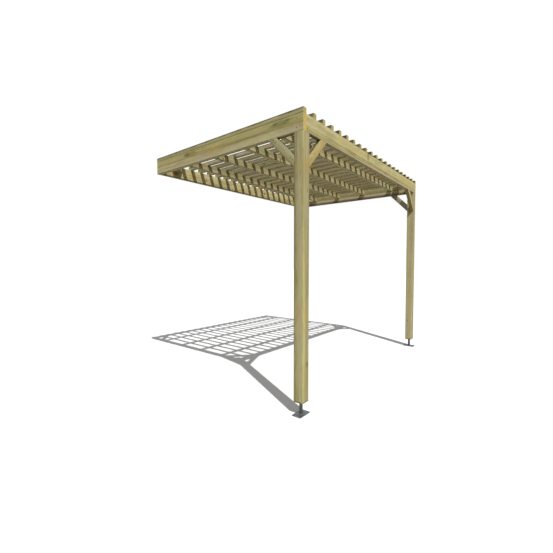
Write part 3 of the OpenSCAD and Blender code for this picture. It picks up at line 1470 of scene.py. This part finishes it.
@dataclass
class BeamFrame(Assembly):
    """The side beams, the front beam and the wall plate.

    Attributes:
        screw_edge: How far the end screws are from the beams' edges.
        screw_inset: How far they are past the beam that meets the end.
    """

    screw_edge: float = 34 * MM
    screw_inset: float = 24 * MM

    def build(self) -> None:
        """Models and dresses the four outer beams."""
        left, right = (self._side_screws(side) for side in Side)
        front = self._front_screws()
        for node, run, look, screws in (
                ("left_side_beam", Run.FRONT_TO_BACK, self._left_look(), left),
                ("right_side_beam", Run.FRONT_TO_BACK, self._right_look(), right),
                ("front_beam", Run.ALONG_WALL, self._front_look(), front)):
            Timber(self.shop, node, run, "beam_timber", look, screws, splits=1).build()
        # Painted shade: a dark band along the wall plate's lower edge.
        painted_shade_lower_edge = patches("wall_plate", Run.ALONG_WALL, -BACKWARD,
                              (1515, -72, 13, 3200, "#4A4433", 0.9))
        look = {"sapwood": "#DACF98", "heartwood": "#D4C596", "blotches": painted_shade_lower_edge}
        WallPlate(self.shop, "wall_plate", Run.ALONG_WALL, "beam_timber", look).build()
        self.shop.screw.heads("beam_screws", left + right + front)

    def _left_look(self) -> Look:
        """Returns the left side beam's look, with the figure of its outer face."""
        outer = patches(
            "left_side_beam", Run.FRONT_TO_BACK, -RIGHTWARD,
            (1050, -62, 30, 1900, "#F0E5B2", 0.5), (650, 8, 8, 420, "#968B50", 0.6),
            (1800, 4, 9, 330, "#9A9258", 0.55), (240, 42, 33, 140, "#7F8448", 0.7),
            (165, 52, 12, 30, "#6C6630", 0.7), (300, 48, 16, 34, "#6E6A36", 0.7),
            (190, 28, 9, 26, "#71803F", 0.6), (1480, 40, 36, 130, "#8A7F3C", 0.6),
            (1560, 42, 26, 62, "#756A2C", 0.7), (1285, 50, 16, 30, "#94883C", 0.5),
            (1090, 38, 15, 90, "#E6BC84", 0.55), (1070, -20, 34, 150, "#D6B973", 0.5),
            (1340, -35, 24, 100, "#DCC8AE", 0.5), (120, -45, 20, 130, "#D2C4AA", 0.55),
            (1740, -50, 18, 110, "#DDC19C", 0.5), (1830, 35, 9, 80, "#DDB87E", 0.5))
        # Painted shade on the underside near the post, where the beams meet.
        painted_shade_by_post = Blotch(Vector((12, 200, -74)) * MM, 28 * MM, 230 * MM, "#33290F", 0.95)
        return {
            "pith": Vector((8, 0, -85)) * MM, "heart_radius": 84 * MM, "ring": 4.4 * MM,
            "sapwood": "#CAC07F", "heartwood": "#E6DBA6", "end_grain": "#E0BE66",
            "mottled": 0.3, "streaked": 0.5, "knots": (), "blotches": (*outer, painted_shade_by_post)}

    def _right_look(self) -> Look:
        """Returns the right side beam's look, with the bands along its inner face."""
        inner = patches(
            "right_side_beam", Run.FRONT_TO_BACK, -RIGHTWARD,
            (1100, 32, 36, 2200, "#998F63", 0.7), (1100, -23, 20, 2200, "#EFE3C6", 0.7),
            # The dark band along the lower edge and the dark patch high near the front end are
            # painted shade.
            (1100, -72, 38, 2200, "#5F5A48", 0.8), (305, 45, 45, 60, "#6C654A", 0.8))
        return {
            "pith": Vector((-20, 0, -80)) * MM, "heart_radius": 85 * MM,
            "sapwood": "#CFC797", "heartwood": "#CDBB90", "end_grain": "#CCC187",
            "blotches": inner}

    def _front_look(self) -> Look:
        """Returns the front beam's look, with the figure of its front face."""
        front = patches(
            "front_beam", Run.ALONG_WALL, -BACKWARD,
            (1500, -27, 14, 1900, "#98894F", 0.65), (1500, -76, 15, 2200, "#E6D5A8", 0.7),
            (860, -28, 16, 150, "#857A3C", 0.55), (1830, -34, 15, 90, "#828144", 0.55),
            (2190, -34, 15, 80, "#877B48", 0.55), (190, 30, 15, 40, "#A5B45C", 0.6),
            (585, 34, 30, 60, "#CBC164", 0.5), (680, 50, 16, 45, "#CBB09C", 0.6),
            (1210, 38, 34, 80, "#CFA66A", 0.6), (1820, 22, 26, 80, "#CCB092", 0.65),
            (2640, 20, 50, 300, "#CDB46C", 0.5))
        # Painted shade on the underside near the post, where the beams meet.
        painted_shade_by_post = Blotch(Vector((130, 16, -74)) * MM, 32 * MM, 230 * MM, "#33290F", 0.95)
        return {
            "pith": Vector((0, 10, -110)) * MM, "heart_radius": 62 * MM, "ring": 4.6 * MM,
            "sapwood": "#D3CB91", "heartwood": "#C9B98A", "mottled": 0.45, "streaked": 0.5,
            "knots": (Knot(Vector((1255, -22, 34)) * MM, 7 * MM),),
            "blotches": (*front, painted_shade_by_post)}

    def _side_screws(self, side: Side) -> list[Matrix]:
        """Returns the places of the screws through a side beam into the post's core."""
        low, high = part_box(f"{side.value}_side_beam")
        x = low.x if side is Side.LEFT else high.x
        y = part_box("front_beam")[1].y + self.screw_inset
        return [facing(Vector((x, y, z)), RIGHTWARD * side.sign)
                for z in (low.z + self.screw_edge, high.z - self.screw_edge)]

    def _front_screws(self) -> list[Matrix]:
        """Returns the places of the screws through the front beam into the posts' cores."""
        low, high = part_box("front_beam")
        return [facing(Vector((x, low.y, z)), -BACKWARD)
                for x in (low.x + self.screw_inset, high.x - self.screw_inset)
                for z in (low.z + self.screw_edge, high.z - self.screw_edge)]


@dataclass
class WallPlate(Timber):
    """The beam that is bolted to the wall, with its bolt holes."""

    def shape(self) -> Object:
        """Cuts the beam and drills a hole for each wall bolt in the record.

        Returns:
            The wall plate.
        """
        plate = super().shape()
        mounts = [mount for mount in frame["record"]["mounts"]
                  if mount["name"].startswith("wall_bolts")]
        places = []
        for mount in mounts:
            for sign in (-1, 1):
                place = Vector(mount["pos_m"])
                place.x += sign * mount["dims"]["spacing_x_mm"] * MM / 2
                places.append(facing(place, -BACKWARD))
        drill(plate, mounts[0]["dims"]["hole_r_mm"] * MM, self.size.y, places)
        return plate


@dataclass
class Braces(Assembly):
    """The eight braces at 45 degrees, all cut to one pattern.

    The pattern lies with its corner at the origin: one end stands on the X axis
    and the other on the Y axis, and its outer face looks along +Z.

    Attributes:
        width: A brace's width across the grain.
        arris: The radius of its long edges.
        screw_inset: The screws' distance from an end, measured along the beam.
        screw_step: Half the two screws' spacing, measured along the beam.
    """

    width: float = 70 * MM
    arris: float = 3 * MM
    screw_inset: float = 26 * MM
    screw_step: float = 10 * MM

    def __post_init__(self) -> None:
        """Reads the reach and the thickness, and finds the middle line's ends."""
        low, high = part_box("left_front_brace")
        self.reach, self.thickness = high.z - low.z, high.y - low.y
        self.far = self.reach - self.width * math.sqrt(2) / 2

    def build(self) -> None:
        """Models the pattern, and copies and dresses it at each corner."""
        pattern, screws = self._pattern(), self._screws()
        cut_with(pattern, self.shop.screw.dents(screws))
        inward, along = Vector((-1, -1, 0)).normalized(), Vector((-1, 1, 0)).normalized()
        axes = Matrix((inward, UP, along)).transposed().to_4x4()
        half = Vector((self.width, self.thickness, 0)) / 2
        heads = []
        for side in Side:
            for corner in BracePlace:
                node = f"{side.value}_{corner.value}"
                place = self._place(node, side, corner)
                grain = place @ Matrix.Translation((self.far, 0, 0)) @ axes
                material = self._finish(node, grain.to_3x3()).material(node, grain, half)
                piece = copy_of(pattern, f"{node}_timber", place)
                finish_piece(piece, material, node)
                heads += [facing(place @ screw.translation, place.to_3x3() @ UP)
                          for screw in screws]
        bpy.data.objects.remove(pattern)
        self.shop.screw.heads("brace_screws", heads)

    def _pattern(self) -> Object:
        """Models the pattern: a planed length with both ends mitred.

        Returns:
            The pattern.
        """
        half = Vector((self.reach, self.width / 2, self.thickness / 2))
        obj = block("brace_pattern", -half, half)
        round_arrises(obj, RIGHTWARD, self.arris)
        turn = Matrix.Rotation(math.radians(135), 4, "Z")
        obj.matrix_world = Matrix.Translation((self.far / 2, self.far / 2, 0)) @ turn
        fix_in_place(obj)

        def is_mitre(face: BMFace) -> bool:
            """Says whether a face is one of the two mitred ends."""
            return min(face.normal.x, face.normal.y) < -ALIGNED

        with editing(obj):
            for normal in ((-1, 0, 0), (0, -1, 0)):
                divide((0, 0, 0), normal, use_fill=True, clear_outer=True)
            select(obj, Element.EDGE, lambda edge: parts_faces(edge, is_mitre))
            bpy.ops.mesh.bevel(offset=EASED_END, segments=1, affect="EDGES")
        return obj

    def _screws(self) -> list[Matrix]:
        """Returns the places of the pattern's screws, two at each end."""
        near = [self.screw_inset + step for step in (-self.screw_step, self.screw_step)]
        ends = [(x, self.far - x) for x in near] + [(self.far - x, x) for x in near]
        return [Matrix.Translation((x, y, self.thickness / 2)) for x, y in ends]

    def _place(self, node: str, side: Side, corner: BracePlace) -> Matrix:
        """Finds where the pattern goes for a brace.

        Args:
            node: The brace's node.
            side: The side that it is on.
            corner: The corner that it stiffens.

        Returns:
            The place, which turns the pattern but doesn't mirror it.
        """
        across, back = RIGHTWARD * -side.sign, BACKWARD
        first, second, outward = {
            BracePlace.SIDE: (back, -UP, -across),
            BracePlace.FRONT: (across, -UP, -back),
            BracePlace.FRONT_CORNER: (across, back, -UP),
            BracePlace.BACK_CORNER: (across, -back, -UP)}[corner]
        if first.cross(second).dot(outward) < 0:
            first, second = second, first
        low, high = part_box(node)
        origin, half = (low + high) / 2, (high - low) / 2
        for direction in (first, second):
            origin -= direction * abs(half.dot(direction))
        axes = Matrix((first, second, outward)).transposed().to_4x4()
        return Matrix.Translation(origin) @ axes

    def _finish(self, node: str, turn: Matrix) -> TreatedPine:
        """Returns a brace's finish.

        Args:
            node: The brace's node.
            turn: The brace's own axes: inward, outward from its face, and along it.

        Returns:
            The finish.
        """
        draw = draw_for(node)
        inward, outward, along = (turn.col[index].to_3d() for index in range(3))

        def strip(across: float, out: float, half_width: float, tint: str, share: float,
                  half_length: float = 400) -> Blotch:
            """Returns a blotch along a brace, in millimetres from its middle line."""
            place = (along * 150 + inward * across + outward * out) * MM
            return Blotch(place, half_width * MM, half_length * MM, tint, share)

        looks: dict[str, Look] = {
            "left_front_brace": {
                "sapwood": "#CFB56F", "heartwood": "#C7AC6C", "mottled": 0.2, "blotches": (
                    strip(20, 22, 8, "#DCCB98", 0.6, 220), strip(37, 0, 21, "#4A4022", 0.92))},
            "left_side_brace": {
                "sapwood": "#C6C08E", "heartwood": "#C2BA8E", "blotches": (
                    strip(24, 22, 17, "#DAD4A6", 0.6), strip(38, -2, 24, "#5C5834", 0.9))},
            "right_side_brace": {"sapwood": "#DAD8C8", "heartwood": "#CCC8B8"}}
        look = {"sapwood": "#C8C08C", "heartwood": "#BDAF88", "knots": (),
                "pith": (inward * draw.uniform(-60, 60) - outward * 30) * MM,
                **looks.get(node, {})}
        return SAWMILL.choose(node, Run.UPRIGHT, Vector((self.width, self.width, 0.4)), **look)


@dataclass
class SteelFeet(Assembly):
    """The fixed feet: a floor plate, a bar welded to it, and a plate under the post.

    Attributes:
        finishes: Each side, with the finish of its plates and that of its bar; the
        bar's and the right foot's darker zinc is painted shade.
        corner: The radius of the plates' corners.
        screw_pitch: The spacing of the bearing plate's screws, both ways.
        screw_hole: The radius of their holes.
        rim: The width of the eased rims.
        bead: The height of a weld bead.
        ripples: The number of ripples round a bead.
        ripple: How far they cut into a bead's reach, as a share.
    """

    finishes: Sequence[tuple[Side, Material, Material]]
    corner: float = 5 * MM
    screw_pitch: float = 56 * MM
    screw_hole: float = 3.5 * MM
    rim: float = 0.6 * MM
    bead: float = 4 * MM
    ripples: int = 18
    ripple: float = 0.1

    def build(self) -> None:
        """Models the left foot and copies it to the right, its floor plate turned a quarter."""
        screws = self._grid(self.screw_pitch, self.screw_pitch)
        parts = {
            "floor_plate": self._floor_plate(),
            "spindle": self._bar(),
            "bearing_plate": self._plate("bearing_plate", screws, self.screw_hole)}
        quarter = Matrix.Rotation(math.radians(90), 4, "Z")
        heads = []
        for side, plates, bar in self.finishes:
            for part, made in parts.items():
                node = f"{side.value}_{part}"
                place = Matrix.Translation(sum(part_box(node), Vector()) / 2)
                if side is Side.RIGHT and part == "floor_plate":
                    place = place @ quarter
                piece = copy_of(made, f"{node}_steel", place)
                finish = bar if part == "spindle" else plates
                finish_piece(piece, finish, node)
            low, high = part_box(f"{side.value}_bearing_plate")
            head = (low + high) / 2
            head.z = low.z - self.shop.screw.sunk
            heads += [facing(head + Vector((x, y, 0)), -UP) for x, y in screws]
        for made in parts.values():
            bpy.data.objects.remove(made)
        self.shop.screw.heads("foot_screws", heads)

    def _grid(self, long: float, wide: float) -> list[tuple[float, float]]:
        """Returns the places of four holes round the origin."""
        return [(x * long / 2, y * wide / 2) for x in (-1, 1) for y in (-1, 1)]

    def _plate(self, name: str, holes: Sequence[tuple[float, float]], radius: float) -> Object:
        """Models a drilled plate round the origin.

        Args:
            name: The plate's name; the left foot's node gives its size.
            holes: The places of its holes.
            radius: Their radius.

        Returns:
            The plate.
        """
        low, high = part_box(f"left_{name}")
        size = high - low
        plate = block(name, -size / 2, size / 2)

        def is_upright(edge: BMEdge) -> bool:
            """Says whether an edge is at one of the plate's corners."""
            return abs(edge.verts[0].co.z - edge.verts[1].co.z) > 0.5 * size.z

        def is_flat(face: BMFace) -> bool:
            """Says whether a face is the plate's top or underside."""
            return abs(face.normal.z) > ALIGNED

        with editing(plate):
            select(plate, Element.EDGE, is_upright)
            bpy.ops.mesh.bevel(offset=self.corner, segments=6, affect="EDGES")
        places = [Matrix.Translation((x, y, -size.z / 2)) for x, y in holes]
        drill(plate, radius, size.z, places)
        with editing(plate):
            select(plate, Element.EDGE, lambda edge: parts_faces(edge, is_flat))
            bpy.ops.mesh.bevel(offset=self.rim, segments=2, affect="EDGES")
        return plate

    def _floor_plate(self) -> Object:
        """Returns the floor plate, with the holes that the record gives."""
        dims = next(mount["dims"] for mount in frame["record"]["mounts"]
                    if mount["name"] == "left_foot_bolts")
        holes = self._grid(dims["spacing_x_mm"] * MM, dims["spacing_y_mm"] * MM)
        return self._plate("floor_plate", holes, dims["hole_r_mm"] * MM)

    def _bar(self) -> Object:
        """Models the bar round the origin, with a rippled weld bead at each end.

        Returns:
            The bar.
        """
        low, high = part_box("left_spindle")
        height = high.z - low.z
        radius = (high.x - low.x) / 2 - self.bead
        bar = drum("foot_bar", -UP * height / 2, radius, height, sides=4 * self.ripples)
        with editing(bar):
            for drop in (self.bead, 0.45 * self.bead):
                for sign in (-1, 1):
                    divide((0, 0, sign * (height / 2 - drop)), (0, 0, 1))
            mesh = bmesh.from_edit_mesh(bar.data)
            for corner in mesh.verts:
                drop = height / 2 - abs(corner.co.z)
                share = max(0.0, 1 - drop / self.bead)
                turn = math.atan2(corner.co.y, corner.co.x)
                # The two beads' ripples don't stand in line.
                phase = turn * self.ripples / 2 + 0.7 * math.copysign(1, corner.co.z)
                dip = 1 - self.ripple * abs(math.sin(phase))
                out = radius + self.bead * math.sqrt(share) * dip
                corner.co.x, corner.co.y = out * math.cos(turn), out * math.sin(turn)
            bmesh.update_edit_mesh(bar.data)
        return bar


@dataclass
class Workshop:
    """The stock and the tools that every sub-assembly is made with.

    Attributes:
        screw: The decking screw and its dent.
        stock: The planed lengths of timber.
        splitter: The cutter of drying splits.
    """

    screw: DeckScrew
    stock: Stock = field(default_factory=Stock)
    splitter: Splitter = field(default_factory=Splitter)

    def clear(self) -> None:
        """Removes what the pieces were copied from or cut with."""
        tools = (self.screw.dent, self.screw.head, self.splitter.cutter)
        for made in (*self.stock.blanks.values(), *tools):
            bpy.data.objects.remove(made)


@dataclass(frozen=True)
class Studio:
    """The camera, the lights and the floor.

    Attributes:
        eye_from_corner: The camera's place from the left post's outer front
            corner on the ground.
        heading: The camera's heading in degrees, from straight at the wall
            towards the right.
        tilt: Its tilt above the level, in degrees.
        lens: The lens, in millimetres on a sensor of the width below.
        sensor: The sensor's width, in millimetres.
        sunlight: The direction in which the key light shines.
        key: The key light's strength.
        softness: The width of the key light, in degrees.
        fill: The strength of the even light from all round.
        floor_size: The length of the floor's sides.
        floor_gap: How far the floor lies under the feet.
        floor_seen: The floor's colour where it is looked at.
        floor_lit: The floor's colour as the light that it throws back shows it.
    """

    eye_from_corner: Vector = Vector((-2.2553, -1.5251, 1.3043))
    heading: float = 51.319
    tilt: float = -2.3075
    lens: float = 21.276
    sensor: float = 36
    sunlight: Vector = Vector((0.514, 1.0, -1.578))
    key: float = 3.6
    softness: float = 0.7
    fill: float = 0.32
    floor_size: float = 120
    floor_gap: float = 0.2 * MM
    floor_seen: str = "#F6F6F6"
    floor_lit: str = "#6A665E"

    def build(self) -> None:
        """Sets up the camera, the lights, the world and the floor."""
        bpy.context.scene.view_settings.view_transform = "Standard"
        post_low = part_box("left_post")[0]
        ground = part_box("left_floor_plate")[0].z
        self._camera(Vector((post_low.x, post_low.y, ground)))
        self._lights()
        self._floor(ground)

    def _camera(self, corner: Vector) -> None:
        """Adds the camera.

        Args:
            corner: The left post's outer front corner, on the ground.
        """
        data = bpy.data.cameras.new("camera")
        data.sensor_width = self.sensor
        data.lens = self.lens
        camera = bpy.data.objects.new("camera", data)
        bpy.context.scene.collection.objects.link(camera)
        heading, tilt = math.radians(self.heading), math.radians(self.tilt)
        look = Vector((math.sin(heading) * math.cos(tilt), math.cos(heading) * math.cos(tilt),
                       math.sin(tilt)))
        camera.location = corner + self.eye_from_corner
        camera.rotation_euler = look.to_track_quat("-Z", "Y").to_euler()
        bpy.context.scene.camera = camera

    def _lights(self) -> None:
        """Adds the key light and the even fill, and a white world to look at."""
        lamp = bpy.data.lights.new("key", "SUN")
        lamp.energy = self.key
        lamp.angle = math.radians(self.softness)
        key = bpy.data.objects.new("key", lamp)
        key.rotation_euler = self.sunlight.to_track_quat("-Z", "Y").to_euler()
        bpy.context.scene.collection.objects.link(key)
        world = bpy.data.worlds.new("world")
        bpy.context.scene.world = world
        world.use_nodes = True
        shader = Shader(world.node_tree)
        even, white = (shader.add("Background", {"Color": (1, 1, 1, 1), "Strength": strength})
                       for strength in (self.fill, 1.0))
        shown = shader.add("MixShader", (shader.looked_at(), even, white))
        shader.add("OutputWorld", (shown,))

    def _floor(self, ground: float) -> None:
        """Adds the pale floor, which shows white where the key light falls on it.

        Args:
            ground: The level of the feet's undersides.
        """
        bpy.ops.object.select_all(action="DESELECT")
        bpy.ops.mesh.primitive_plane_add(size=self.floor_size,
                                         location=(0, 0, ground - self.floor_gap))
        floor = bpy.context.active_object
        floor.name = "floor"
        made = new_material("pale_floor")
        shader = Shader(made.node_tree)
        tone = shader.add("Mix", {0: shader.looked_at(), UNDER: colour(self.floor_lit),
                                  OVER: colour(self.floor_seen)}, data_type="RGBA")
        shader.add("OutputMaterial", (shader.add("BsdfDiffuse", (tone,)),))
        floor.data.materials.append(made)


def main() -> None:
    """Builds the pergola and its studio."""
    logging.basicConfig(level=logging.INFO, format="%(message)s")
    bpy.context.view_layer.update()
    plate = GalvanisedSteel().material("galvanised_steel")
    # Painted shade: the bar's darker zinc stands for the shade under the post, and the right
    # foot's darker copy for the shade on it.
    bar = GalvanisedSteel(pale="#5C6262", dark="#464B4B", dull="#505555")
    bar = bar.material("galvanised_bar")
    shaded = GalvanisedSteel(pale="#505354", dark="#383A3C", dull="#434547")
    shaded = shaded.material("galvanised_steel_shaded")
    shop = Workshop(DeckScrew(CoatedScrew().material("coated_screws")))
    feet = SteelFeet(shop, ((Side.LEFT, plate, bar), (Side.RIGHT, shaded, shaded)))
    for assembly in (Roof(shop), BeamFrame(shop), Posts(shop), Braces(shop), feet):
        assembly.build()
    shop.clear()
    Studio().build()


if __name__ == "__main__":
    main()
